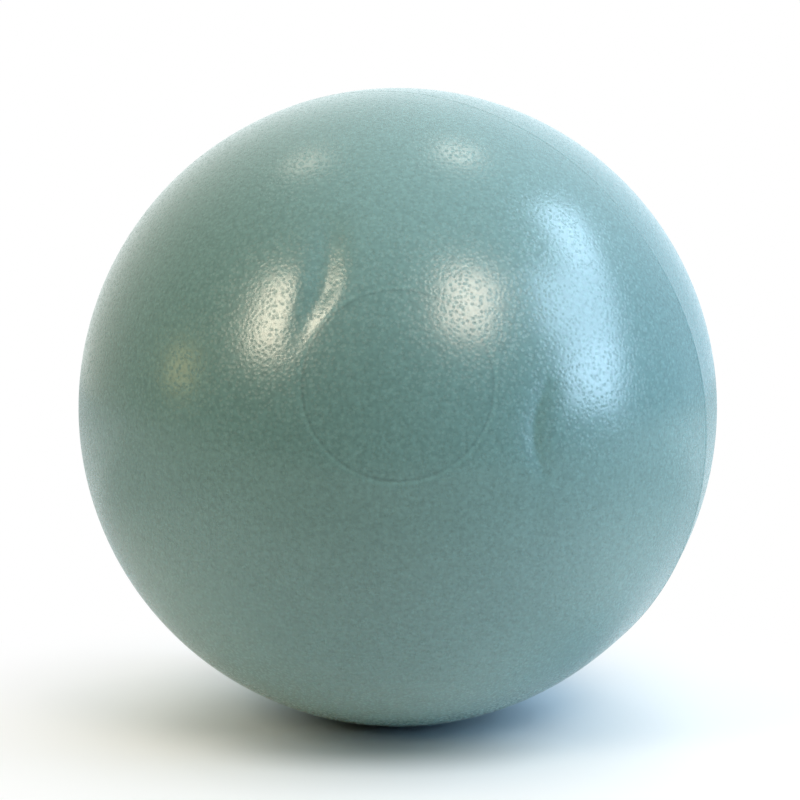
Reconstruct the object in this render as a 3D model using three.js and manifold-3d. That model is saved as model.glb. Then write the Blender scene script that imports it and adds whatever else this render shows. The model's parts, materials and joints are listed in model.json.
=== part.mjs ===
// A small inflatable pilates ball: a thin soft vinyl skin, blown up tight, that stands on the flat which
// its own weight presses into it. The skin has a round, slightly sunken panel at one pole, a valve at the
// other pole, where a push-in plug closes a soft sleeve, and a fine moulding seam that runs aslant between.
// Millimetres, +Z up. The origin is the middle of the flat, and the panel looks along -Y.
import * as THREE from "three";
import { mergeVertices, toCreasedNormals } from "three/addons/utils/BufferGeometryUtils.js";
import Module from "manifold-3d";

const wasm = await Module();
wasm.setup();

// Skin
const BALL_DIAMETER = 250;
const SKIN_WALL = 1;
const REST_FLAT_DIAMETER = 32;
const PANEL_LIFT = THREE.MathUtils.degToRad(8); // the panel looks up by this much

// Sunken panel
const PANEL_DIAMETER = 65;
const PANEL_STEP = 0.35; // depth at the panel's edge
const PANEL_EDGE_WIDTH = 1.2; // width of the slope round it
const PANEL_CROWN_RADIUS = 128; // a little flatter than the ball

// Moulding seam: its own axis leaves the ball to the left of the front and below it
const SEAM_WIDTH = 2.4;
const SEAM_HEIGHT = 0.3;
const SEAM_TURN = THREE.MathUtils.degToRad(24.5);
const SEAM_DIP = THREE.MathUtils.degToRad(11.6);

// Plug: a crowned head on a beaded stem with a tapered tip
const PLUG_HEAD_DIAMETER = 14;
const PLUG_HEAD_THICKNESS = 1.8;
const PLUG_HEAD_CROWN = 0.6;
const PLUG_HEAD_ROUNDING = 0.4;
const PLUG_STEM_DIAMETER = 5;
const PLUG_STEM_LENGTH = 18;
const PLUG_BEAD_RISE = 0.4;
const PLUG_BEAD_WIDTH = 1.8;
const PLUG_BEAD_SPACING = 1.4;
const PLUG_TIP_DIAMETER = 3.2;
const PLUG_TIP_LENGTH = 3;

// Valve sleeve: a flanged neck bonded behind the skin, which grips the plug's beads
const SLEEVE_WALL = 1.8;
const SLEEVE_END_WALL = 1.1;
const SLEEVE_NECK_LENGTH = 12.5;
const SLEEVE_FLANGE_WIDTH = 3.2;
const SLEEVE_FLANGE_THICKNESS = 1.3;
const SLEEVE_FLANGE_EDGE = 0.7;
const SLEEVE_LEAD_IN = 0.5;

// Dish in the skin that takes the plug's head
const DISH_ROOM = 1.2; // all round the head
const DISH_FLARE = THREE.MathUtils.degToRad(40); // from the valve's axis
const DISH_LIP = 1.6;

// Clearance between pieces that touch
const FIT_GAP = 0.3;

// Facets
const SKIN_SIDES = 64;
const SKIN_RING = Math.PI / 32;
const HOLLOW_SIDES = 44;
const HOLLOW_RING = Math.PI / 22;
const SEAM_SIDES = 96;
const VALVE_SIDES = 28;
const CROWN_RING = Math.PI / 60;
const TIP_RING = Math.PI / 6;
const CURVE_STEPS = 4;
const CREASE_ANGLE = Math.PI / 8; // sharper edges than this stay sharp

// The ball sinks until its flat has the wanted width.
const ballRadius = BALL_DIAMETER / 2;
const centreHeight = Math.sqrt(ballRadius ** 2 - (REST_FLAT_DIAMETER / 2) ** 2);

// The valve is sized outwards from the plug's stem, and its dish from the plug's head.
const stemRadius = PLUG_STEM_DIAMETER / 2;
const headRadius = PLUG_HEAD_DIAMETER / 2;
const boreRadius = stemRadius + PLUG_BEAD_RISE + FIT_GAP;
const neckRadius = boreRadius + SLEEVE_WALL;
const holeRadius = neckRadius + FIT_GAP;
const flangeRadius = neckRadius + SLEEVE_FLANGE_WIDTH;
const dishFloorRadius = Math.max(headRadius, holeRadius) + DISH_ROOM;
const dishDepth = FIT_GAP + PLUG_HEAD_THICKNESS;
const dishRimRadius = dishFloorRadius + dishDepth * Math.tan(DISH_FLARE);
const dishFloorDistance = Math.sqrt(ballRadius ** 2 - dishRimRadius ** 2) - dishDepth;

// The panel's cap is part of a larger sphere, centred below the ball's middle.
const panelRadius = PANEL_DIAMETER / 2;
const panelEdgeHeight = Math.sqrt(ballRadius ** 2 - panelRadius ** 2) - PANEL_STEP;
const panelCapCentre = panelEdgeHeight - Math.sqrt(PANEL_CROWN_RADIUS ** 2 - panelRadius ** 2);
const panelCapAngle = Math.asin(panelRadius / PANEL_CROWN_RADIUS);

// A profile point: distance from the axis, and height along it.
function point(radius, height) {
  return new THREE.Vector2(radius, height);
}

// Points along an arc about a centre on the axis. Angles are measured from the axis.
function arc(centre, radius, from, to, ring) {
  const steps = Math.max(1, Math.ceil(Math.abs(to - from) / ring));
  return Array.from({ length: steps + 1 }, (_, i) => {
    const angle = from + ((to - from) * i) / steps;
    return point(radius * Math.sin(angle), centre + radius * Math.cos(angle));
  });
}

// A profile turned about the Z axis. Outer walls run upwards in the profile.
function revolve(profile, sides) {
  return new THREE.LatheGeometry(profile, sides).rotateX(Math.PI / 2);
}

// A closed mesh as a solid that can be joined and cut.
function solid(geometry) {
  const bare = geometry.clone();
  bare.deleteAttribute("normal");
  bare.deleteAttribute("uv");
  const merged = mergeVertices(bare);
  return new wasm.Manifold(new wasm.Mesh({
    numProp: 3,
    vertProperties: new Float32Array(merged.getAttribute("position").array),
    triVerts: new Uint32Array(merged.getIndex().array),
  }));
}

// A solid back as a geometry, smooth except at its real edges.
function geometryOf(body) {
  const { vertProperties, triVerts } = body.getMesh();
  const geometry = new THREE.BufferGeometry();
  geometry.setAttribute("position", new THREE.BufferAttribute(vertProperties, 3));
  geometry.setIndex(new THREE.BufferAttribute(triVerts, 1));
  return toCreasedNormals(geometry, CREASE_ANGLE);
}

function mesh(name, geometry, color, roughness) {
  const material = new THREE.MeshStandardMaterial({ color, roughness, metalness: 0 });
  const piece = new THREE.Mesh(geometry, material);
  piece.name = name;
  return piece;
}

// The dish, from its middle out to the round lip where it meets the ball, at a depth below the skin.
function dishProfile(depth) {
  const radius = ballRadius - depth;
  const floorHeight = depth - dishFloorDistance;
  const floorEdge = point(dishFloorRadius + depth, floorHeight);
  const rimAngle = Math.PI - Math.asin((dishRimRadius + depth) / radius);
  const rim = point(radius * Math.sin(rimAngle), radius * Math.cos(rimAngle));
  const lip = Math.min(DISH_LIP, rim.distanceTo(floorEdge) / 2);
  const lipAngle = rimAngle - lip / radius;
  const lipStart = rim.clone().lerp(floorEdge, lip / rim.distanceTo(floorEdge));
  const lipEnd = point(radius * Math.sin(lipAngle), radius * Math.cos(lipAngle));
  const lipCurve = new THREE.QuadraticBezierCurve(lipStart, rim, lipEnd);
  return { points: [point(0, floorHeight), floorEdge, ...lipCurve.getPoints(CURVE_STEPS)], lipAngle };
}

// One face of the skin, from the valve to the panel, at a depth below its outside.
function skinProfile(depth, ring) {
  const radius = ballRadius - depth;
  const dish = dishProfile(depth);
  const edgeAngle = Math.asin(panelRadius / ballRadius) + PANEL_EDGE_WIDTH / ballRadius;
  return [
    ...dish.points,
    ...arc(0, radius, dish.lipAngle, edgeAngle, ring).slice(1),
    ...arc(panelCapCentre, PANEL_CROWN_RADIUS - depth, panelCapAngle, 0, ring / 2),
  ];
}

// The low round-topped seam as a ring rooted in the wall, seen from the ball's tilted axis.
function seamRing(tilt) {
  const halfAngle = SEAM_WIDTH / 2 / ballRadius;
  const rootRadius = ballRadius - SKIN_WALL / 2;
  const at = (radius, angle) => point(radius * Math.cos(angle), radius * Math.sin(angle));
  const hump = Array.from({ length: CURVE_STEPS + 1 }, (_, i) => {
    const share = (2 * i) / CURVE_STEPS - 1;
    return at(ballRadius + SEAM_HEIGHT * Math.cos((share * Math.PI) / 2) ** 2, share * halfAngle);
  });
  const root = at(rootRadius, -halfAngle);
  const ring = revolve([root, ...hump, at(rootRadius, halfAngle), root], SEAM_SIDES);
  return solid(ring.rotateX(Math.PI / 2 + SEAM_DIP).rotateZ(-SEAM_TURN).rotateX(-tilt));
}

// Everything above the flat, raised by a height, seen from the ball's tilted axis.
function aboveFlat(raise, tilt) {
  const side = 2 * BALL_DIAMETER;
  const block = new THREE.BoxGeometry(side, side, side);
  block.translate(0, 0, side / 2 - centreHeight + raise);
  return solid(block.rotateX(-tilt));
}

// The skin: the outside with its seam, less the hollow, both flat underneath, less the valve's hole.
function skinGeometry(tilt) {
  const outside = solid(revolve(skinProfile(0, SKIN_RING), SKIN_SIDES)).add(seamRing(tilt));
  const hollow = solid(revolve(skinProfile(SKIN_WALL, HOLLOW_RING), HOLLOW_SIDES));
  const drillLength = 4 * SKIN_WALL;
  const drill = new THREE.CylinderGeometry(holeRadius, holeRadius, drillLength, VALVE_SIDES);
  const hole = solid(drill.rotateX(Math.PI / 2).translate(0, 0, -dishFloorDistance));
  const shell = outside.intersect(aboveFlat(0, tilt)).subtract(hollow.intersect(aboveFlat(SKIN_WALL, tilt)));
  return geometryOf(shell.subtract(hole));
}

// The sleeve, in the valve's frame: +Z leads out of the ball, and z = 0 is the floor of the dish.
function sleeveGeometry() {
  const seat = -(SKIN_WALL + FIT_GAP);
  const back = seat - SLEEVE_FLANGE_THICKNESS;
  const end = back - SLEEVE_NECK_LENGTH;
  const leadIn = Math.min(SLEEVE_LEAD_IN, SLEEVE_WALL / 2);
  return revolve([
    point(boreRadius, end),
    point(boreRadius + SLEEVE_END_WALL, end),
    point(neckRadius, back),
    point(flangeRadius, seat - SLEEVE_FLANGE_EDGE),
    point(flangeRadius, seat),
    point(neckRadius, seat),
    point(neckRadius, 0),
    point(boreRadius + leadIn, 0),
    point(boreRadius, -leadIn),
    point(boreRadius, end),
  ], VALVE_SIDES);
}

// One round bead on the plug's stem, upwards from a height.
function bead(height) {
  return Array.from({ length: CURVE_STEPS + 1 }, (_, i) => {
    const share = i / CURVE_STEPS;
    return point(stemRadius + PLUG_BEAD_RISE * Math.sin(share * Math.PI), height + share * PLUG_BEAD_WIDTH);
  });
}

// The plug, from its round tip up to its head, in the valve's frame.
function plugGeometry() {
  const tipRadius = PLUG_TIP_DIAMETER / 2;
  const underHead = FIT_GAP;
  const tipCentre = underHead - PLUG_STEM_LENGTH + tipRadius;
  const rounding = Math.min(PLUG_HEAD_ROUNDING, 0.45 * PLUG_HEAD_THICKNESS, 0.45 * headRadius);
  const headTop = underHead + PLUG_HEAD_THICKNESS;
  const flatRadius = headRadius - rounding;
  const crownRadius = (flatRadius ** 2 + PLUG_HEAD_CROWN ** 2) / (2 * PLUG_HEAD_CROWN);
  const crownAngle = Math.asin(flatRadius / crownRadius);
  const profile = [
    ...arc(tipCentre, tipRadius, Math.PI, Math.PI / 2, TIP_RING),
    point(stemRadius, tipCentre + PLUG_TIP_LENGTH),
  ];
  const pitch = PLUG_BEAD_WIDTH + PLUG_BEAD_SPACING;
  const beadFeet = [];
  for (let foot = underHead - pitch; foot > tipCentre + PLUG_TIP_LENGTH; foot -= pitch) {
    beadFeet.unshift(foot);
  }
  profile.push(...beadFeet.flatMap(bead));
  profile.push(
    point(stemRadius, underHead),
    point(flatRadius, underHead),
    point(headRadius, underHead + rounding),
    point(headRadius, headTop - rounding),
    ...arc(headTop + PLUG_HEAD_CROWN - crownRadius, crownRadius, crownAngle, 0, CROWN_RING),
  );
  return revolve(profile, VALVE_SIDES);
}

// The moulding axis leaves the ball through the middle of the panel.
const mouldingAxis = new THREE.Group();
mouldingAxis.rotation.x = Math.PI / 2 - PANEL_LIFT;
mouldingAxis.position.z = centreHeight;
mouldingAxis.add(mesh("ball_skin", skinGeometry(mouldingAxis.rotation.x), 0x7c9f99, 0.45));

// The valve sits at the far end of that axis and looks outwards.
const valve = new THREE.Group();
valve.rotation.x = Math.PI;
valve.position.z = -dishFloorDistance;
valve.add(mesh("valve_sleeve", sleeveGeometry(), 0x6b8c87, 0.5));
valve.add(mesh("valve_plug", plugGeometry(), 0xe6e4da, 0.4));
mouldingAxis.add(valve);

const ball = new THREE.Group();
ball.add(mouldingAxis);

export default ball;
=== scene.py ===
"""A small inflatable pilates ball of soft vinyl, with its plug valve, dressed around its CAD frame.

Lengths are written in millimetres and turned to metres by MM. The ball's moulding axis leaves it through
the middle of the sunken panel, and the valve sits at the axis's other end. The fine moulding seam runs
round an axis of its own, aslant to that one.
"""
import json
import math

import bpy
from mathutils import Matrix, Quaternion, Vector


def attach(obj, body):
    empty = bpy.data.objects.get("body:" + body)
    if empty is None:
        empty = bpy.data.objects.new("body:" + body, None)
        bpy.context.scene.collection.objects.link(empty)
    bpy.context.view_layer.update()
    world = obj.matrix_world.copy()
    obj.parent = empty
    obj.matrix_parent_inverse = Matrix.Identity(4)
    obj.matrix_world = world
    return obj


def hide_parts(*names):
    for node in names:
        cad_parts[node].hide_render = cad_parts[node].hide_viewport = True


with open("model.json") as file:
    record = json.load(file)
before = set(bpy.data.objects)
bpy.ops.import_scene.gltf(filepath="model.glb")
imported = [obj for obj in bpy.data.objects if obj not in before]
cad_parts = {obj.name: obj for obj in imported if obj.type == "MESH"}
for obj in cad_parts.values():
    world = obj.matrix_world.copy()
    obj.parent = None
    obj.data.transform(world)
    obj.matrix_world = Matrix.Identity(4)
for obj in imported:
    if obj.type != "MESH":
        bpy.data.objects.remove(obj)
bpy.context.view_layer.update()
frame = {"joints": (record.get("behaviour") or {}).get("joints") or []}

MM = 0.001

# Skin, as in the CAD model, apart from a lower and wider step round the panel and a lower seam
BALL_RADIUS = 125 * MM
SKIN_WALL = 1 * MM
REST_FLAT_RADIUS = 16 * MM
PANEL_RADIUS = 32.5 * MM
PANEL_STEP = 0.06 * MM
PANEL_EDGE = 2.2 * MM
PANEL_CROWN = 128 * MM
SEAM_HALF = 1.2 * MM
SEAM_HEIGHT = 0.05 * MM

# Softness of the skin: its bend along the seam, its unevenness, and how softly it lies on the table
SEAM_BEND = 0.8 * MM
SEAM_BEND_WIDTH = 8 * MM
UNEVENNESS = 0.5 * MM
UNEVEN_PER_METRE = 11.0
REST_SOFTNESS = 0.5 * MM

# Where the bend along the seam starts and where it is full, as cosines of the angle to its middle, and the
# share of it that is left all round
SEAM_BEND_START = 0.67
SEAM_BEND_FULL = 0.95
SEAM_BEND_LEAST = 0.05

# Folds are gone at the first of these distances from the panel's middle, and full from the second on
FOLDS_GONE = PANEL_RADIUS - 2 * MM
FOLDS_FULL = PANEL_RADIUS + 9 * MM

# Valve, as in the CAD model, with its edges rounded for the eye
FIT_GAP = 0.3 * MM
HEAD_RADIUS = 7 * MM
HEAD_THICKNESS = 1.8 * MM
HEAD_CROWN = 0.6 * MM
HEAD_RIM = 0.4 * MM
HEAD_ROUNDING = 0.6 * MM
STEM_RADIUS = 2.5 * MM
STEM_LENGTH = 18 * MM
BEAD_RISE = 0.4 * MM
BEAD_WIDTH = 1.8 * MM
BEAD_SPACING = 1.4 * MM
TIP_RADIUS = 1.6 * MM
TIP_LENGTH = 3 * MM
SLEEVE_WALL = 1.8 * MM
SLEEVE_END_WALL = 1.1 * MM
SLEEVE_LEAD_IN = 0.5 * MM
SLEEVE_ROUNDING = 0.3 * MM
NECK_LENGTH = 12.5 * MM
FLANGE_WIDTH = 3.2 * MM
FLANGE_THICKNESS = 1.3 * MM
FLANGE_EDGE = 0.7 * MM
DISH_ROOM = 1.2 * MM
DISH_ROUNDING = 1.2 * MM
DISH_LEAD = 2 * MM
DISH_FLARE = math.radians(40)

BORE_RADIUS = STEM_RADIUS + BEAD_RISE + FIT_GAP
NECK_RADIUS = BORE_RADIUS + SLEEVE_WALL
HOLE_RADIUS = NECK_RADIUS + FIT_GAP
DISH_FLOOR = HEAD_RADIUS + DISH_ROOM
DISH_DEPTH = FIT_GAP + HEAD_THICKNESS
DISH_RIM = DISH_FLOOR + DISH_DEPTH * math.tan(DISH_FLARE)
DISH_DISTANCE = math.sqrt(BALL_RADIUS**2 - DISH_RIM**2) - DISH_DEPTH

# Facets of the finished meshes: the skin is finest round the panel, where it has folds
SKIN_SIDES = 288
SEAM_SIDES = 360
VALVE_SIDES = 72
PANEL_SPACING = 1.6 * MM
FOLD_SPACING = 0.8 * MM
SIDE_SPACING = 1.7 * MM
BACK_SPACING = 3.2 * MM
HOLLOW_SPACING = 9 * MM
HEAD_SPACING = 0.6 * MM
TIP_SPACING = 0.3 * MM
BEAD_STEPS = 9
FOLD_LINE_STEPS = 32
FOLD_ANGLE = math.radians(38)
SIDE_ANGLE = math.radians(92)
MERGE_DISTANCE = 0.001 * MM


def linear(hex_colour):
    """An sRGB hex colour as the linear colour that a shader socket takes."""
    channels = [int(hex_colour[i:i + 2], 16) / 255 for i in (1, 3, 5)]
    return [c / 12.92 if c <= 0.04045 else ((c + 0.055) / 1.055) ** 2.4 for c in channels] + [1]


def add(tree, kind, inputs=None, **settings):
    """Adds a node with its settings, and fills its inputs with values or links.

    A link is another node's socket, or the node itself for the first of its outputs that is in use.
    """
    node = tree.nodes.new(kind)
    for name, value in settings.items():
        setattr(node, name, value)
    for key, value in (inputs or {}).items():
        if isinstance(value, bpy.types.Node):
            value = next(socket for socket in value.outputs if socket.enabled)
        if isinstance(value, bpy.types.NodeSocket):
            tree.links.new(value, node.inputs[key])
        else:
            node.inputs[key].default_value = value
    return node


def direction(azimuth, elevation):
    """A unit vector: azimuth in degrees from the front towards the right, elevation above the floor."""
    turn, lift = math.radians(azimuth), math.radians(elevation)
    return Vector((math.sin(turn) * math.cos(lift), -math.cos(turn) * math.cos(lift), math.sin(lift)))


# Places: the plug's joint runs along the moulding axis
VALVE_AXIS = Vector(frame["joints"][0]["axis"]).normalized()
PANEL_AXIS = -VALVE_AXIS
SEAM_AXIS = direction(-24.5, -11.6)
SEAM_BEND_WAY = direction(66, -12)
BALL_CENTRE = Vector((0, 0, math.sqrt(BALL_RADIUS**2 - REST_FLAT_RADIUS**2)))
PANEL_MIDDLE = BALL_CENTRE + BALL_RADIUS * PANEL_AXIS
VALVE_SEAT = BALL_CENTRE + DISH_DISTANCE * VALVE_AXIS


# Profiles: points (distance from the axis, height along it)

def arc(centre, radius, start, end, spacing):
    """Points along an arc about a centre on the axis. Angles are measured from the axis."""
    steps = max(1, math.ceil(abs(end - start) * radius / spacing))
    angles = [start + (end - start) * i / steps for i in range(steps + 1)]
    return [(radius * math.sin(a), centre + radius * math.cos(a)) for a in angles]


def rounded(corners, radius, steps=5):
    """A line through corners, with each inner corner rounded off."""
    points = [corners[0]]
    for before, corner, after in zip(corners, corners[1:], corners[2:]):
        before, corner, after = Vector(before), Vector(corner), Vector(after)
        reach_in = min(radius, (before - corner).length / 2)
        reach_out = min(radius, (after - corner).length / 2)
        start = corner + (before - corner).normalized() * reach_in
        end = corner + (after - corner).normalized() * reach_out
        for i in range(steps + 1):
            t = i / steps
            points.append(tuple(start * (1 - t) ** 2 + corner * 2 * t * (1 - t) + end * t**2))
    return points + [corners[-1]]


def panel_edge(steps=8):
    """The soft step from the panel's cap up to the skin round it."""
    start_angle = math.asin(PANEL_RADIUS / BALL_RADIUS)
    points = []
    for i in range(1, steps + 1):
        share = i / steps
        angle = start_angle + share * PANEL_EDGE / BALL_RADIUS
        sunk = PANEL_STEP * (1 + math.cos(math.pi * share)) / 2
        points.append((BALL_RADIUS * math.sin(angle), BALL_RADIUS * math.cos(angle) - sunk))
    return points


def seam_profile(steps=10):
    """The low round-topped moulding seam, as a closed line whose foot is rooted in the skin's wall."""
    foot = BALL_RADIUS - SKIN_WALL / 2
    hump = []
    for i in range(steps + 1):
        share = 1 - 2 * i / steps
        radius = BALL_RADIUS + SEAM_HEIGHT * math.cos(share * math.pi / 2) ** 2
        hump.append((radius, share * SEAM_HALF))
    return [(foot, SEAM_HALF), *hump, (foot, -SEAM_HALF), (foot, SEAM_HALF)]


def skin_profile():
    """The skin from the middle of the panel round to the valve's hole, and back along its inside."""
    cap_edge = math.sqrt(BALL_RADIUS**2 - PANEL_RADIUS**2) - PANEL_STEP
    cap_centre = cap_edge - math.sqrt(PANEL_CROWN**2 - PANEL_RADIUS**2)
    cap_angle = math.asin(PANEL_RADIUS / PANEL_CROWN)
    edge_angle = math.asin(PANEL_RADIUS / BALL_RADIUS) + PANEL_EDGE / BALL_RADIUS
    lip_angle = math.pi - math.asin(DISH_RIM / BALL_RADIUS)
    lead_angle = lip_angle - DISH_LEAD / BALL_RADIUS
    inner = BALL_RADIUS - SKIN_WALL
    inner_lip = math.pi - math.asin((DISH_RIM + SKIN_WALL) / inner)
    ball_front = arc(0, BALL_RADIUS, edge_angle, FOLD_ANGLE, FOLD_SPACING)
    ball_side = arc(0, BALL_RADIUS, FOLD_ANGLE, SIDE_ANGLE, SIDE_SPACING)
    ball_back = arc(0, BALL_RADIUS, SIDE_ANGLE, lead_angle, BACK_SPACING)
    dish = rounded([
        ball_back[-1],
        (BALL_RADIUS * math.sin(lip_angle), BALL_RADIUS * math.cos(lip_angle)),
        (DISH_FLOOR, -DISH_DISTANCE),
        (HOLE_RADIUS, -DISH_DISTANCE),
        (HOLE_RADIUS, SKIN_WALL - DISH_DISTANCE),
        (DISH_FLOOR + SKIN_WALL, SKIN_WALL - DISH_DISTANCE),
        (inner * math.sin(inner_lip), inner * math.cos(inner_lip)),
    ], DISH_ROUNDING)
    ball_inside = arc(0, inner, inner_lip, edge_angle, HOLLOW_SPACING)
    cap_inside = arc(cap_centre, PANEL_CROWN - SKIN_WALL, cap_angle, 0, HOLLOW_SPACING)
    return [
        *arc(cap_centre, PANEL_CROWN, 0, cap_angle, PANEL_SPACING),
        *panel_edge(),
        *ball_front[1:-1],
        *ball_side[:-1],
        *ball_back[:-1],
        *dish,
        *ball_inside[1:],
        *cap_inside,
    ]


def sleeve_profile():
    """The flanged neck, as a closed line. Height 0 is the dish's floor, and up leads out of the ball."""
    seat = -(SKIN_WALL + FIT_GAP)
    back = seat - FLANGE_THICKNESS
    end = back - NECK_LENGTH
    flange = NECK_RADIUS + FLANGE_WIDTH
    bore_middle = (BORE_RADIUS, (end - SLEEVE_LEAD_IN) / 2)
    return rounded([
        bore_middle,
        (BORE_RADIUS, -SLEEVE_LEAD_IN),
        (BORE_RADIUS + SLEEVE_LEAD_IN, 0),
        (NECK_RADIUS, 0),
        (NECK_RADIUS, seat),
        (flange, seat),
        (flange, seat - FLANGE_EDGE),
        (NECK_RADIUS, back),
        (BORE_RADIUS + SLEEVE_END_WALL, end),
        (BORE_RADIUS, end),
        bore_middle,
    ], SLEEVE_ROUNDING)


def plug_profile():
    """The plug from the middle of its head down to its tip, in the valve's heights."""
    top = FIT_GAP + HEAD_THICKNESS
    rim = HEAD_RADIUS - HEAD_RIM
    crown = (rim**2 + HEAD_CROWN**2) / (2 * HEAD_CROWN)
    tip_centre = FIT_GAP - STEM_LENGTH + TIP_RADIUS
    stem_end = tip_centre + TIP_LENGTH
    head_top = arc(top + HEAD_CROWN - crown, crown, 0, math.asin(rim / crown), HEAD_SPACING)
    head_edge = rounded([
        head_top[-1],
        (HEAD_RADIUS, top),
        (HEAD_RADIUS, FIT_GAP),
        (STEM_RADIUS, FIT_GAP),
        (STEM_RADIUS, FIT_GAP - BEAD_SPACING),
    ], HEAD_ROUNDING)
    points = head_top[:-1] + head_edge
    pitch = BEAD_WIDTH + BEAD_SPACING
    for bead in range(int((FIT_GAP - stem_end) / pitch)):
        head = FIT_GAP - BEAD_SPACING - bead * pitch
        for i in range(1, BEAD_STEPS + 1):
            share = i / BEAD_STEPS
            points.append((STEM_RADIUS + BEAD_RISE * math.sin(math.pi * share), head - share * BEAD_WIDTH))
    points.append((STEM_RADIUS, stem_end))
    return points + arc(tip_centre, TIP_RADIUS, math.pi / 2, math.pi, TIP_SPACING)


# Geometry Nodes

def new_tree(name, inputs):
    """An empty Geometry Nodes tree with named inputs. Gives the tree, its input node and its output node."""
    tree = bpy.data.node_groups.new(name, "GeometryNodeTree")
    tree.interface.new_socket(name="Geometry", in_out="INPUT", socket_type="NodeSocketGeometry")
    tree.interface.new_socket(name="Geometry", in_out="OUTPUT", socket_type="NodeSocketGeometry")
    for label, kind in inputs.items():
        tree.interface.new_socket(name=label, in_out="INPUT", socket_type=kind)
    return tree, add(tree, "NodeGroupInput"), add(tree, "NodeGroupOutput")


def finish_tree(tree, given, result, geometry):
    """Ends a tree in smooth shading, realized instances and the piece's material."""
    smooth = add(tree, "GeometryNodeSetShadeSmooth", {"Geometry": geometry})
    real = add(tree, "GeometryNodeRealizeInstances", {"Geometry": smooth})
    painted = add(tree, "GeometryNodeSetMaterial", {"Geometry": real, "Material": given.outputs["Material"]})
    tree.links.new(painted.outputs["Geometry"], result.inputs["Geometry"])


def turning_tree():
    """Turns a profile line about its axis into a closed body, tips the axis and puts the body in place."""
    tree, given, result = new_tree("turned_body", {
        "Sides": "NodeSocketInt", "Tip": "NodeSocketVector", "Place": "NodeSocketVector",
        "Material": "NodeSocketMaterial"})
    profile = given.outputs["Geometry"]
    sides = given.outputs["Sides"]
    rows = add(tree, "GeometryNodeAttributeDomainSize", {"Geometry": profile}, component="MESH")
    columns = add(tree, "FunctionNodeIntegerMath", {0: sides, 1: 1}, operation="ADD")
    grid = add(tree, "GeometryNodeMeshGrid", {
        "Vertices X": rows.outputs["Point Count"], "Vertices Y": columns})
    index = add(tree, "GeometryNodeInputIndex")
    row = add(tree, "FunctionNodeIntegerMath", {0: index, 1: columns}, operation="DIVIDE_FLOOR")
    column = add(tree, "FunctionNodeIntegerMath", {0: index, 1: columns}, operation="MODULO")
    place = add(tree, "GeometryNodeInputPosition")
    point = add(tree, "GeometryNodeSampleIndex", {"Geometry": profile, "Value": place, "Index": row},
                data_type="FLOAT_VECTOR")
    share = add(tree, "ShaderNodeMath", {0: column, 1: sides}, operation="DIVIDE")
    angle = add(tree, "ShaderNodeMath", {0: share, 1: math.tau}, operation="MULTIPLY")
    turned = add(tree, "ShaderNodeVectorRotate", {"Vector": point, "Angle": angle}, rotation_type="Z_AXIS")
    body = add(tree, "GeometryNodeSetPosition", {"Geometry": grid, "Position": turned})
    closed = add(tree, "GeometryNodeMergeByDistance", {"Geometry": body, "Distance": MERGE_DISTANCE})
    tipped = add(tree, "GeometryNodeTransform", {
        "Geometry": closed, "Translation": given.outputs["Place"], "Rotation": given.outputs["Tip"]})
    finish_tree(tree, given, result, tipped)
    return tree


# Fold lines that packing left in the skin. Each runs through three points on the ball, given as (azimuth,
# elevation). The numbers after them are the valley's half width, how far from its middle it fades out, its
# depth and how round its bottom is (2 is round, 1 is a sharp crease).
FOLDS = {
    "Left fold": ((-12.9, 34.4), (-12.9, 24.4), (-14.9, 12.9), 5.8 * MM, 37 * MM, 1.25 * MM, 2.0),
    "Right fold": ((24.2, 7.5), (21.8, 0.6), (23.6, -6.5), 4.0 * MM, 26 * MM, 1.1 * MM, 1.3),
    "Right fold tail": ((22.6, -5), (22.8, -15), (24.9, -25), 2.4 * MM, 34 * MM, 0.08 * MM, 1.5),
    "Side fold": ((-47.4, 8), (-48.0, 3.6), (-50.2, -1), 2 * MM, 22 * MM, 0.08 * MM, 1.5),
}
FOLD_SIZES = ("width", "reach", "depth", "roundness")


def on_ball(tree, geometry):
    """Puts every point of a geometry on the ball's sphere."""
    place = add(tree, "GeometryNodeInputPosition")
    arm = add(tree, "ShaderNodeVectorMath", {0: place, 1: BALL_CENTRE}, operation="SUBTRACT")
    unit = add(tree, "ShaderNodeVectorMath", {0: arm}, operation="NORMALIZE")
    reach = add(tree, "ShaderNodeVectorMath", {0: unit, "Scale": BALL_RADIUS}, operation="SCALE")
    there = add(tree, "ShaderNodeVectorMath", {0: reach, 1: BALL_CENTRE}, operation="ADD")
    return add(tree, "GeometryNodeSetPosition", {"Geometry": geometry, "Position": there})


def fold_depth(tree, given, name, place):
    """How far one fold sinks the skin at a place."""
    start, middle, end = (BALL_CENTRE + BALL_RADIUS * direction(*point) for point in FOLDS[name][:3])
    width, reach, depth, roundness = (given.outputs[f"{name} {size}"] for size in FOLD_SIZES)
    line = add(tree, "GeometryNodeCurveQuadraticBezier", {
        "Resolution": FOLD_LINE_STEPS, "Start": start, "Middle": 2 * middle - (start + end) / 2, "End": end})
    edges = add(tree, "GeometryNodeCurveToMesh", {"Curve": on_ball(tree, line)})
    near = add(tree, "GeometryNodeProximity", {0: edges}, target_element="EDGES")
    ratio = add(tree, "ShaderNodeMath", {0: near.outputs["Distance"], 1: width}, operation="DIVIDE")
    bank = add(tree, "ShaderNodeMath", {0: ratio, 1: roundness}, operation="POWER")
    valley = add(tree, "ShaderNodeMath", {0: 1 / math.e, 1: bank}, operation="POWER")
    away = add(tree, "ShaderNodeVectorMath", {0: place, 1: middle}, operation="DISTANCE")
    deepest = add(tree, "ShaderNodeMapRange", {
        "Value": away, "From Min": 0.0, "From Max": reach, "To Min": depth, "To Max": 0.0,
    }, interpolation_type="SMOOTHSTEP")
    return add(tree, "ShaderNodeMath", {0: valley, 1: deepest}, operation="MULTIPLY")


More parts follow.
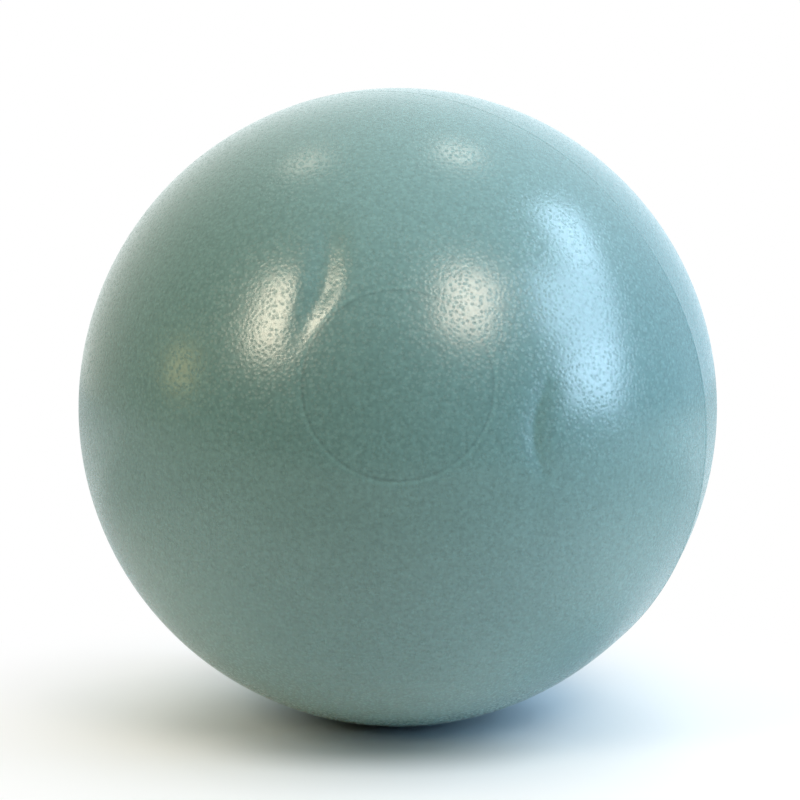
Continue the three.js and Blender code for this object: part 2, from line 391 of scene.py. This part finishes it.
def soft_skin_tree():
    """Adds the seam to the turned skin, then its fold lines, a slight unevenness and its standing flat."""
    sizes = {f"{name} {size}": "NodeSocketFloat" for name in FOLDS for size in FOLD_SIZES}
    tree, given, result = new_tree("soft_skin", {
        **sizes, "Seam": "NodeSocketObject", "Seam bend": "NodeSocketFloat",
        "Seam bend width": "NodeSocketFloat", "Unevenness": "NodeSocketFloat", "Wall": "NodeSocketFloat",
        "Press": "NodeSocketFloat", "Material": "NodeSocketMaterial"})
    seam = add(tree, "GeometryNodeObjectInfo", {"Object": given.outputs["Seam"]})
    joined = add(tree, "GeometryNodeJoinGeometry", {"Geometry": seam.outputs["Geometry"]})
    tree.links.new(given.outputs["Geometry"], joined.inputs["Geometry"])
    place = add(tree, "GeometryNodeInputPosition")
    arm = add(tree, "ShaderNodeVectorMath", {0: place, 1: BALL_CENTRE}, operation="SUBTRACT")
    outward = add(tree, "ShaderNodeVectorMath", {0: arm}, operation="NORMALIZE")

    noise = add(tree, "ShaderNodeTexNoise", {"Vector": place, "Scale": UNEVEN_PER_METRE, "Detail": 1.0})
    swing = add(tree, "ShaderNodeMath", {0: noise, 1: 0.5}, operation="SUBTRACT")
    height = add(tree, "ShaderNodeMath", {0: swing, 1: given.outputs["Unevenness"]}, operation="MULTIPLY")

    beside = add(tree, "ShaderNodeVectorMath", {0: arm, 1: SEAM_AXIS}, operation="DOT_PRODUCT")
    gap = add(tree, "ShaderNodeMath", {0: beside}, operation="ABSOLUTE")
    ratio = add(tree, "ShaderNodeMath", {0: gap, 1: given.outputs["Seam bend width"]}, operation="DIVIDE")
    ridge = add(tree, "ShaderNodeMath", {0: 1 / math.e, 1: ratio}, operation="POWER")
    bend = add(tree, "ShaderNodeMath", {0: ridge, 1: given.outputs["Seam bend"]}, operation="MULTIPLY")
    turned = add(tree, "ShaderNodeVectorMath", {0: outward, 1: SEAM_BEND_WAY}, operation="DOT_PRODUCT")
    share = add(tree, "ShaderNodeMapRange", {
        "Value": turned, "From Min": SEAM_BEND_START, "From Max": SEAM_BEND_FULL, "To Min": SEAM_BEND_LEAST,
    }, interpolation_type="SMOOTHSTEP")
    height = add(tree, "ShaderNodeMath", {0: bend, 1: share, 2: height}, operation="MULTIPLY_ADD")

    away = add(tree, "ShaderNodeVectorMath", {0: place, 1: PANEL_MIDDLE}, operation="DISTANCE")
    beyond = add(tree, "ShaderNodeMapRange", {
        "Value": away, "From Min": FOLDS_GONE, "From Max": FOLDS_FULL}, interpolation_type="SMOOTHSTEP")
    for name in FOLDS:
        sunk = add(tree, "ShaderNodeMath", {0: fold_depth(tree, given, name, place), 1: beyond},
                   operation="MULTIPLY")
        height = add(tree, "ShaderNodeMath", {0: height, 1: sunk}, operation="SUBTRACT")
    offset = add(tree, "ShaderNodeVectorMath", {0: outward, "Scale": height}, operation="SCALE")
    shaped = add(tree, "GeometryNodeSetPosition", {"Geometry": joined, "Offset": offset})

    reach = add(tree, "ShaderNodeVectorMath", {0: arm}, operation="LENGTH")
    inside = add(tree, "ShaderNodeMath", {0: reach, 1: BALL_RADIUS - SKIN_WALL / 2}, operation="LESS_THAN")
    lowest = add(tree, "ShaderNodeMath", {0: inside, 1: given.outputs["Wall"]}, operation="MULTIPLY")
    parts = add(tree, "ShaderNodeSeparateXYZ", {0: place})
    raised = add(tree, "ShaderNodeMath", {0: parts.outputs["Z"], 1: lowest, 2: given.outputs["Press"]},
                 operation="SMOOTH_MAX")
    pressed = add(tree, "ShaderNodeCombineXYZ", {0: parts.outputs["X"], 1: parts.outputs["Y"], 2: raised})
    standing = add(tree, "GeometryNodeSetPosition", {"Geometry": shaped, "Position": pressed})
    finish_tree(tree, given, result, standing)
    return tree


def apply_tree(piece, tree, values):
    """Runs a tree on a piece with its inputs set, and keeps the result as the piece's plain mesh."""
    modifier = piece.modifiers.new(tree.name, "NODES")
    modifier.node_group = tree
    for socket in tree.interface.items_tree:
        if socket.in_out == "INPUT" and socket.name in values:
            modifier[socket.identifier] = values[socket.name]
    scene_graph = bpy.context.evaluated_depsgraph_get()
    made = bpy.data.meshes.new_from_object(piece.evaluated_get(scene_graph))
    piece.modifiers.remove(modifier)
    piece.data = made
    made.name = piece.name


TURNING = turning_tree()


def turned_piece(name, profile, sides, axis, place, material):
    """A piece that is turned from a profile line about an axis."""
    outline = bpy.data.meshes.new(name)
    steps = [(i, i + 1) for i in range(len(profile) - 1)]
    outline.from_pydata([(radius, 0, height) for radius, height in profile], steps, [])
    piece = bpy.data.objects.new(name, outline)
    bpy.context.scene.collection.objects.link(piece)
    tip = axis.to_track_quat("Z", "Y").to_euler()
    apply_tree(piece, TURNING, {"Sides": sides, "Tip": tuple(tip), "Place": place, "Material": material})
    return piece


# Materials

VINYL_IOR = 1.53
POLYETHYLENE_IOR = 1.51

# The skin's etched pits: their spacing, their depth and its share in the panel, how softly they run
# together, how far from its middle a pit ends (in spacings), and the roughness in the pits and on the land
# between them
PIT_SPACING = 1.5 * MM
PIT_DEPTH = 0.04 * MM
PANEL_PITS = 0.8
PIT_BLEND = 0.4
PIT_END = 0.65
PIT_ROUGHNESS = 0.40
LAND_ROUGHNESS = 0.23

# Clouds and speckle in the plastics' colours: their sizes, how far the speckle swings, and the part of a
# noise's range that is spread out over the whole swing
SKIN_CLOUD = 45 * MM
SLEEVE_CLOUD = 3 * MM
PLUG_CLOUD = 2.5 * MM
SPECKLE_SIZE = 1.5 * MM
SPECKLE_SWING = 0.13
NOISE_LOW = 0.3
NOISE_HIGH = 0.7
PLUG_PEEL = 0.02 * MM

# Painted rings round the panel, shade at its foot and a highlight at its lip: their distance from its
# middle, half width and strength
PANEL_SHADE_AND_HIGHLIGHT_RINGS = {
    "foot": (PANEL_RADIUS, 0.5 * MM, -0.17),
    "lip": (PANEL_RADIUS + PANEL_EDGE / 2, 0.7 * MM, 0.13),
}


def new_material(name):
    """A material with an empty node tree. Gives the material, its tree and the place on the surface."""
    material = bpy.data.materials.new(name)
    material.use_nodes = True
    tree = material.node_tree
    tree.nodes.clear()
    return material, tree, add(tree, "ShaderNodeTexCoord").outputs["Object"]


def skin_vinyl():
    """Soft PVC from an etched mould: satin, with dull fine pits that break its highlights into a mesh.

    The panel's mould was polished more, so its pits are shallower. The step round the panel has painted
    shade at its foot, and a painted highlight makes its lip paler.
    """
    material, tree, place = new_material("soft_pvc_etched_mould")
    away = add(tree, "ShaderNodeVectorMath", {0: place, 1: PANEL_MIDDLE}, operation="DISTANCE")

    cells = add(tree, "ShaderNodeTexVoronoi", {
        "Vector": place, "Scale": 1 / PIT_SPACING, "Smoothness": PIT_BLEND}, feature="SMOOTH_F1")
    pits = add(tree, "ShaderNodeMapRange", {
        "Value": cells, "From Min": 0.0, "From Max": PIT_END}, interpolation_type="SMOOTHSTEP")
    depth = add(tree, "ShaderNodeMapRange", {
        "Value": away, "From Min": PANEL_RADIUS, "From Max": PANEL_RADIUS + PANEL_EDGE,
        "To Min": PANEL_PITS, "To Max": 1.0}, interpolation_type="SMOOTHSTEP")
    bump = add(tree, "ShaderNodeBump", {"Strength": depth, "Distance": PIT_DEPTH, "Height": pits})
    rough = add(tree, "ShaderNodeMapRange", {
        "Value": pits, "To Min": PIT_ROUGHNESS, "To Max": LAND_ROUGHNESS})

    cloud = add(tree, "ShaderNodeTexNoise", {"Vector": place, "Scale": 1 / SKIN_CLOUD, "Detail": 3.0})
    tone = add(tree, "ShaderNodeMapRange", {
        "Value": cloud, "From Min": NOISE_LOW, "From Max": NOISE_HIGH})
    clouded = add(tree, "ShaderNodeMix", {
        "Factor": tone, "A": linear("#6c908d"), "B": linear("#709491")}, data_type="RGBA")
    speckle = add(tree, "ShaderNodeTexNoise", {"Vector": place, "Scale": 1 / SPECKLE_SIZE, "Detail": 1.0})
    shade = add(tree, "ShaderNodeMapRange", {
        "Value": speckle, "From Min": NOISE_LOW, "From Max": NOISE_HIGH,
        "To Min": 1 - SPECKLE_SWING, "To Max": 1 + SPECKLE_SWING})
    # Painted shade darkens a thin ring at the step's foot, and a painted highlight lightens a ring at its
    # lip
    for middle, half, strength in PANEL_SHADE_AND_HIGHLIGHT_RINGS.values():
        ratio = add(tree, "ShaderNodeMapRange", {
            "Value": away, "From Min": middle, "From Max": middle + half}, clamp=False)
        square = add(tree, "ShaderNodeMath", {0: ratio, 1: ratio}, operation="MULTIPLY")
        painted_ring = add(tree, "ShaderNodeMath", {0: 1 / math.e, 1: square}, operation="POWER")
        shade = add(tree, "ShaderNodeMath", {0: painted_ring, 1: strength, 2: shade}, operation="MULTIPLY_ADD")
    colour = add(tree, "ShaderNodeVectorMath", {0: clouded, "Scale": shade}, operation="SCALE")
    shader = add(tree, "ShaderNodeBsdfPrincipled", {
        "Base Color": colour, "Roughness": rough, "Normal": bump, "IOR": VINYL_IOR,
        "Specular IOR Level": 0.85})
    add(tree, "ShaderNodeOutputMaterial", {"Surface": shader})
    return material


def sleeve_vinyl():
    """Soft PVC from a polished tool: the same plastic as the skin, smooth and satin, slightly clouded."""
    material, tree, place = new_material("soft_pvc_polished_tool")
    cloud = add(tree, "ShaderNodeTexNoise", {"Vector": place, "Scale": 1 / SLEEVE_CLOUD, "Detail": 2.0})
    colour = add(tree, "ShaderNodeMix", {
        "Factor": cloud, "A": linear("#688a84"), "B": linear("#73958f")}, data_type="RGBA")
    shader = add(tree, "ShaderNodeBsdfPrincipled", {
        "Base Color": colour, "Roughness": 0.4, "IOR": VINYL_IOR})
    add(tree, "ShaderNodeOutputMaterial", {"Surface": shader})
    return material


def plug_polyethylene():
    """Injection-moulded soft polyethylene: milky, with a faint orange peel and a waxy gloss."""
    material, tree, place = new_material("milky_polyethylene_moulded")
    cloud = add(tree, "ShaderNodeTexNoise", {"Vector": place, "Scale": 1 / PLUG_CLOUD, "Detail": 2.0})
    colour = add(tree, "ShaderNodeMix", {
        "Factor": cloud, "A": linear("#dedbd0"), "B": linear("#e9e6dc")}, data_type="RGBA")
    peel = add(tree, "ShaderNodeBump", {"Strength": 0.4, "Distance": PLUG_PEEL, "Height": cloud})
    shader = add(tree, "ShaderNodeBsdfPrincipled", {
        "Base Color": colour, "Normal": peel, "Roughness": 0.38, "IOR": POLYETHYLENE_IOR,
        "Subsurface Weight": 0.3, "Subsurface Radius": (2 * MM, 2 * MM, 1.6 * MM), "Subsurface Scale": 1.0})
    add(tree, "ShaderNodeOutputMaterial", {"Surface": shader})
    return material


# Pieces

def ball_skin():
    """The blown-up skin with its panel, seam, folds and dish."""
    material = skin_vinyl()
    skin = turned_piece("soft_skin", skin_profile(), SKIN_SIDES, PANEL_AXIS, BALL_CENTRE, material)
    seam = turned_piece("seam", seam_profile(), SEAM_SIDES, SEAM_AXIS, BALL_CENTRE, material)
    sizes = {f"{name} {size}": value for name, fold in FOLDS.items()
             for size, value in zip(FOLD_SIZES, fold[3:])}
    apply_tree(skin, soft_skin_tree(), {
        **sizes, "Seam": seam, "Seam bend": SEAM_BEND, "Seam bend width": SEAM_BEND_WIDTH,
        "Unevenness": UNEVENNESS, "Wall": SKIN_WALL, "Press": REST_SOFTNESS, "Material": material})
    bpy.data.objects.remove(seam)
    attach(skin, "ball")
    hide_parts("ball_skin")


def valve_sleeve():
    """The flanged neck behind the skin, which grips the plug."""
    sleeve = turned_piece("soft_sleeve", sleeve_profile()[::-1], VALVE_SIDES, VALVE_AXIS, VALVE_SEAT,
                          sleeve_vinyl())
    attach(sleeve, "ball")
    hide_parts("valve_sleeve")


def valve_plug():
    """The stopper that is pulled out along the valve's axis."""
    plug = turned_piece("beaded_plug", plug_profile(), VALVE_SIDES, VALVE_AXIS, VALVE_SEAT,
                        plug_polyethylene())
    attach(plug, "plug")
    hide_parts("valve_plug")


# Stage

TABLE_FRONT = 480 * MM
TABLE_BACK = 3000 * MM
TABLE_SIDE = 2500 * MM
TABLE_WHITE = linear("#f4f3f0")
TABLE_DIM = linear("#989793")

# Distances on the table: where it starts and ends to run out into white round the ball, to brighten from the
# front, to darken to the sides, and to be bright again behind the ball
WHITE_RANGE = (50 * MM, 240 * MM)
FRONT_RANGE = (-280 * MM, -40 * MM)
SIDE_RANGE = (120 * MM, 420 * MM)
SIDE_SHARE = 0.4
BEHIND_RANGE = (50 * MM, 350 * MM)

# Soft shade on the table, in the camera's view and in the ball's reflections. Each patch has its middle, its
# reach along X, Y and Z, and its darkest tone.
SHADES_IN_VIEW = [
    ((-5 * MM, -57 * MM, 0), (76 * MM, 41 * MM, 1), (0.44, 0.48, 0.48, 1)),
    ((11 * MM, 80 * MM, 0), (130 * MM, 250 * MM, 1), (0.24, 0.38, 0.51, 1)),
]
SHADES_MIRRORED = [
    ((90 * MM, -10 * MM, 0), (75 * MM, 110 * MM, 1), (0.58, 0.62, 0.64, 1)),
]


def shaded(tree, place, colour, patches):
    """A table colour, darkened by soft patches of shade."""
    for middle, reach, darkest in patches:
        offset = add(tree, "ShaderNodeVectorMath", {0: place, 1: middle}, operation="SUBTRACT")
        shares = add(tree, "ShaderNodeVectorMath", {0: offset, 1: reach}, operation="DIVIDE")
        away = add(tree, "ShaderNodeVectorMath", {0: shares}, operation="LENGTH")
        dimness = add(tree, "ShaderNodeMapRange", {"Value": away, "To Min": 1.0, "To Max": 0.0},
                      interpolation_type="SMOOTHSTEP")
        colour = add(tree, "ShaderNodeMix", {"Factor": dimness, "A": colour, "B": darkest},
                     data_type="RGBA", blend_type="MULTIPLY")
    return colour


def table_top():
    """Matt white lacquer on a table top. Away from the ball it runs out into the white behind.

    In the ball's reflections it darkens to the front and to both sides, as if these lay in the room's shade.
    The camera sees such shade only close beneath the ball.
    """
    material, tree, place = new_material("matt_white_lacquer")
    parts = add(tree, "ShaderNodeSeparateXYZ", {0: place})
    path = add(tree, "ShaderNodeLightPath")

    front = add(tree, "ShaderNodeMapRange", {
        "Value": parts.outputs["Y"], "From Min": FRONT_RANGE[0], "From Max": FRONT_RANGE[1],
    }, interpolation_type="SMOOTHSTEP")
    sideways = add(tree, "ShaderNodeMath", {0: parts.outputs["X"]}, operation="ABSOLUTE")
    side = add(tree, "ShaderNodeMapRange", {
        "Value": sideways, "From Min": SIDE_RANGE[0], "From Max": SIDE_RANGE[1],
        "To Min": 1.0, "To Max": SIDE_SHARE}, interpolation_type="SMOOTHSTEP")
    behind = add(tree, "ShaderNodeMapRange", {
        "Value": parts.outputs["Y"], "From Min": BEHIND_RANGE[0], "From Max": BEHIND_RANGE[1],
    }, interpolation_type="SMOOTHSTEP")
    bright = add(tree, "ShaderNodeMath", {0: side, 1: behind}, operation="MAXIMUM")
    lit = add(tree, "ShaderNodeMath", {0: front, 1: bright}, operation="MULTIPLY")
    mirrored = add(tree, "ShaderNodeMix", {
        "Factor": lit, "A": TABLE_DIM, "B": TABLE_WHITE}, data_type="RGBA")
    colour = add(tree, "ShaderNodeMix", {
        "Factor": path.outputs["Is Camera Ray"],
        "A": shaded(tree, place, mirrored, SHADES_MIRRORED),
        "B": shaded(tree, place, TABLE_WHITE, SHADES_IN_VIEW)}, data_type="RGBA")
    shader = add(tree, "ShaderNodeBsdfPrincipled", {
        "Base Color": colour, "Roughness": 0.9, "Specular IOR Level": 0.1})

    away = add(tree, "ShaderNodeVectorMath", {0: place}, operation="LENGTH")
    far = add(tree, "ShaderNodeMapRange", {
        "Value": away, "From Min": WHITE_RANGE[0], "From Max": WHITE_RANGE[1],
    }, interpolation_type="SMOOTHSTEP")
    seen = add(tree, "ShaderNodeMath", {0: far, 1: path.outputs["Is Camera Ray"]}, operation="MULTIPLY")
    white = add(tree, "ShaderNodeEmission", {"Color": (1, 1, 1, 1), "Strength": 1.0})
    both = add(tree, "ShaderNodeMixShader", {0: seen, 1: shader, 2: white})
    add(tree, "ShaderNodeOutputMaterial", {"Surface": both})
    return material


def table():
    """The flat top that the ball stands on."""
    mesh = bpy.data.meshes.new("table")
    corners = [(-TABLE_SIDE, -TABLE_FRONT, 0), (TABLE_SIDE, -TABLE_FRONT, 0),
               (TABLE_SIDE, TABLE_BACK, 0), (-TABLE_SIDE, TABLE_BACK, 0)]
    mesh.from_pydata(corners, [], [(0, 1, 2, 3)])
    mesh.materials.append(table_top())
    top = bpy.data.objects.new("table", mesh)
    bpy.context.scene.collection.objects.link(top)


# The room, as wide soft glows: the way to the middle of each (azimuth, elevation) and its linear colour
ROOM = {
    "behind_left": (-150, 8, (0.62, 0.55, 0.44)),
    "behind": (180, 8, (0.55, 0.68, 0.74)),
    "behind_right": (150, 8, (0.42, 0.52, 0.65)),
    "behind_high": (180, 45, (0.36, 0.34, 0.32)),
    "left": (-90, 10, (0.03, 0.02, 0.01)),
    "right": (90, 10, (0.01, 0.05, 0.18)),
    "right_high": (100, 55, (0.33, 0.33, 0.39)),
    "above": (0, 90, (0.51, 0.64, 0.63)),
}
GLOW_FALLOFF = 3.0


def surroundings():
    """The room's glows. The camera sees plain white all round."""
    world = bpy.data.worlds.new("surroundings")
    bpy.context.scene.world = world
    world.use_nodes = True
    tree = world.node_tree
    tree.nodes.clear()
    way = add(tree, "ShaderNodeTexCoord").outputs["Generated"]
    room = (0, 0, 0)
    for azimuth, elevation, colour in ROOM.values():
        facing = add(tree, "ShaderNodeVectorMath", {0: way, 1: direction(azimuth, elevation)},
                     operation="DOT_PRODUCT")
        ahead = add(tree, "ShaderNodeMath", {0: facing, 1: 0.0}, operation="MAXIMUM")
        glow = add(tree, "ShaderNodeMath", {0: ahead, 1: GLOW_FALLOFF}, operation="POWER")
        tinted = add(tree, "ShaderNodeVectorMath", {0: colour, "Scale": glow}, operation="SCALE")
        room = add(tree, "ShaderNodeVectorMath", {0: room, 1: tinted}, operation="ADD")
    path = add(tree, "ShaderNodeLightPath")
    seen = add(tree, "ShaderNodeMix", {
        "Factor": path.outputs["Is Camera Ray"], "A": room, "B": (1, 1, 1, 1)}, data_type="RGBA")
    light = add(tree, "ShaderNodeBackground", {"Color": seen, "Strength": 1.0})
    add(tree, "ShaderNodeOutputWorld", {"Surface": light})


# Soft lamps, all at one distance from the ball: the way to each (azimuth, elevation), its width and height
# in metres, its turn about that way in degrees, its colour and its power in watts
LAMP_DISTANCE = 1.85
LAMPS = {
    "ceiling_left": (-46.8, 31.0, 0.43, 0.80, 0, "#fff1d7", 12.8),
    "ceiling_right": (28.2, 37.6, 0.50, 0.70, -25, "#ffeeda", 11.2),
    "overhead_left": (-125.3, 65.0, 0.29, 0.23, 57, "#fff0dc", 0.8),
    "overhead_right": (136.1, 70.8, 0.27, 0.23, -46, "#fff4e6", 1.15),
    "side_left": (-79.8, 10.6, 0.34, 0.34, 0, "#ffe795", 0.95),
    "window_upper": (94.0, 44.2, 0.48, 0.68, -40, "#c2e3ff", 8.3),
    "window_middle": (73.0, 28.8, 0.97, 0.70, -24, "#c2e3ff", 13.8),
    "window_lower": (70.0, 10.0, 0.74, 0.54, -9, "#c2e3ff", 11.2),
}


def lamps():
    """The ceiling's warm lamps and the window's cool panes, each facing the ball."""
    for name, (azimuth, elevation, width, height, turn, colour, power) in LAMPS.items():
        light = bpy.data.lights.new(name, "AREA")
        light.shape = "RECTANGLE"
        light.size = width
        light.size_y = height
        light.color = linear(colour)[:3]
        light.energy = power
        lamp = bpy.data.objects.new(name, light)
        bpy.context.scene.collection.objects.link(lamp)
        way = direction(azimuth, elevation)
        lamp.location = BALL_CENTRE + LAMP_DISTANCE * way
        roll = Quaternion((0, 0, 1), math.radians(turn))
        lamp.rotation_euler = (way.to_track_quat("Z", "Y") @ roll).to_euler()


# Camera, for an 800 x 800 picture
PICTURE = 800
BALL_PIXEL = (397.9, 407.0)
BALL_PIXEL_RADIUS = 319.3
CAMERA_DISTANCE = 800 * MM
CAMERA_ELEVATION = 4.5
SENSOR = 36


def camera():
    """Stands so that the ball's outline has the photograph's size and place."""
    spread = BALL_RADIUS / math.sqrt(CAMERA_DISTANCE**2 - BALL_RADIUS**2)
    focal_pixels = BALL_PIXEL_RADIUS / spread
    lens = bpy.data.cameras.new("camera")
    lens.sensor_width = SENSOR
    lens.lens = SENSOR * focal_pixels / PICTURE
    view = bpy.data.objects.new("camera", lens)
    bpy.context.scene.collection.objects.link(view)
    back = direction(0, CAMERA_ELEVATION)
    up = back.cross(Vector((1, 0, 0)))
    pixel = CAMERA_DISTANCE / focal_pixels
    aim = BALL_CENTRE + Vector(((PICTURE / 2 - BALL_PIXEL[0]) * pixel, 0, 0))
    aim += up * (BALL_PIXEL[1] - PICTURE / 2) * pixel
    view.location = BALL_CENTRE + CAMERA_DISTANCE * back
    view.rotation_euler = (view.location - aim).to_track_quat("Z", "Y").to_euler()
    bpy.context.scene.camera = view


ball_skin()
valve_sleeve()
valve_plug()
table()
surroundings()
lamps()
camera()
bpy.context.scene.view_settings.view_transform = "Standard"
